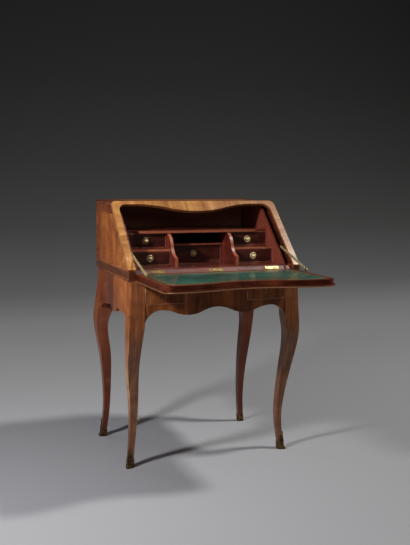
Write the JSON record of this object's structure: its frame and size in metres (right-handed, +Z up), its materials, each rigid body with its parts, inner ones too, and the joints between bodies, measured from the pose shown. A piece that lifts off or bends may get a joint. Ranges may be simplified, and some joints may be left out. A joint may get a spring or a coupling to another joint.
{
  "type": "slant-front desk",
  "caption": "Slant-front writing desk on cabriole legs: leather-lined fall on stays, gallery of small drawers and pigeonhole, frieze drawers, sliding panel over a hidden well.",
  "frame": {"origin": "on the floor, under the middle of the box round the desk with its fall open", "axes": "+X to the right of someone facing the desk, +Y to its back, +Z up"},
  "size_m": [0.688, 0.8028, 0.969],
  "materials": {
    "carcass_veneer": "french polished bois de rose and kingwood",
    "frame_veneer": "french polished tulipwood",
    "leg_wood": "waxed dark fruitwood",
    "interior_mahogany": "polished mahogany",
    "drawer_oak": "bare oak",
    "leather": "green with tooled gilt lines",
    "brass": "aged",
    "bronze": "gilt bronze, worn"
  },
  "bodies": {
    "case": {"leg_front_left": "leg_wood", "leg_front_right": "leg_wood", "leg_rear_left": "leg_wood", "leg_rear_right": "leg_wood", "sabots": "bronze", "front_apron": "frame_veneer", "frieze_rail": "frame_veneer", "frieze_centre_block": "frame_veneer", "back_apron": "carcass_veneer", "bottom_board": "drawer_oak", "lower_side_left": "carcass_veneer", "lower_side_right": "carcass_veneer", "waist_rail_left": "carcass_veneer", "waist_rail_right": "carcass_veneer", "upper_side_left": "carcass_veneer", "slant_stile_left": "frame_veneer", "upper_side_right": "carcass_veneer", "slant_stile_right": "frame_veneer", "slant_rail": "frame_veneer", "top_board": "carcass_veneer", "back_panel": "drawer_oak", "bed_front": "interior_mahogany", "bed_sides": "interior_mahogany", "bed_channel": "drawer_oak", "well_box": "drawer_oak", "lining_left": "interior_mahogany", "divider_left": "interior_mahogany", "lining_right": "interior_mahogany", "divider_right": "interior_mahogany", "drawer_rails": "interior_mahogany", "gallery_shelf": "interior_mahogany", "pigeonhole_shelf": "interior_mahogany", "case_hinge_leaves": "brass", "stay_tracks": "brass"},
    "fall": {"fall_panel": "interior_mahogany", "fall_leather": "leather", "fall_escutcheon": "brass", "fall_hinge_leaves": "brass", "stay_brackets": "brass"},
    "stay_left": {"stay_left": "brass"},
    "stay_right": {"stay_right": "brass"},
    "bed_panel": {"bed_panel": "interior_mahogany"},
    "lower_drawer_left": {"lower_drawer_left_front": "interior_mahogany", "lower_drawer_left_box": "drawer_oak", "lower_drawer_left_knob": "brass"},
    "lower_drawer_right": {"lower_drawer_right_front": "interior_mahogany", "lower_drawer_right_box": "drawer_oak", "lower_drawer_right_knob": "brass"},
    "upper_drawer_left": {"upper_drawer_left_front": "interior_mahogany", "upper_drawer_left_box": "drawer_oak", "upper_drawer_left_knob": "brass"},
    "upper_drawer_right": {"upper_drawer_right_front": "interior_mahogany", "upper_drawer_right_box": "drawer_oak", "upper_drawer_right_knob": "brass"},
    "centre_drawer": {"centre_drawer_front": "interior_mahogany", "centre_drawer_box": "drawer_oak", "centre_drawer_knob": "brass"},
    "frieze_drawer_left": {"frieze_drawer_left": "carcass_veneer"},
    "frieze_drawer_right": {"frieze_drawer_right": "carcass_veneer"}
  },
  "joints": [
    {"name": "fall_hinge", "type": "hinge", "parent": "case", "child": "fall", "pos_m": [0, -0.07074, 0.722], "axis": [1, 0, 0], "range_deg": [-135.86, 0]},
    {"name": "stay_left_turn", "type": "hinge", "parent": "fall", "child": "stay_left", "pos_m": [-0.304, -0.18574, 0.731], "axis": [1, 0, 0], "range_deg": [0, 108.38]},
    {"name": "stay_right_turn", "type": "hinge", "parent": "fall", "child": "stay_right", "pos_m": [0.304, -0.18574, 0.731], "axis": [1, 0, 0], "range_deg": [0, 108.38]},
    {"name": "bed_panel_slide", "type": "slide", "parent": "case", "child": "bed_panel", "axis": [0, 1, 0], "range_m": [0, 0.13]},
    {"name": "lower_drawer_left_slide", "type": "slide", "parent": "case", "child": "lower_drawer_left", "axis": [0, -1, 0], "range_m": [0, 0.18]},
    {"name": "lower_drawer_right_slide", "type": "slide", "parent": "case", "child": "lower_drawer_right", "axis": [0, -1, 0], "range_m": [0, 0.18]},
    {"name": "upper_drawer_left_slide", "type": "slide", "parent": "case", "child": "upper_drawer_left", "axis": [0, -1, 0], "range_m": [0, 0.14]},
    {"name": "upper_drawer_right_slide", "type": "slide", "parent": "case", "child": "upper_drawer_right", "axis": [0, -1, 0], "range_m": [0, 0.14]},
    {"name": "centre_drawer_slide", "type": "slide", "parent": "case", "child": "centre_drawer", "axis": [0, -1, 0], "range_m": [0, 0.11]},
    {"name": "frieze_drawer_left_slide", "type": "slide", "parent": "case", "child": "frieze_drawer_left", "axis": [0, -1, 0], "range_m": [0, 0.22]},
    {"name": "frieze_drawer_right_slide", "type": "slide", "parent": "case", "child": "frieze_drawer_right", "axis": [0, -1, 0], "range_m": [0, 0.22]}
  ],
  "couplings": [
    {"joint": "stay_left_turn", "follows": "fall_hinge", "ratio": -0.79761},
    {"joint": "stay_right_turn", "follows": "fall_hinge", "ratio": -0.79761}
  ]
}
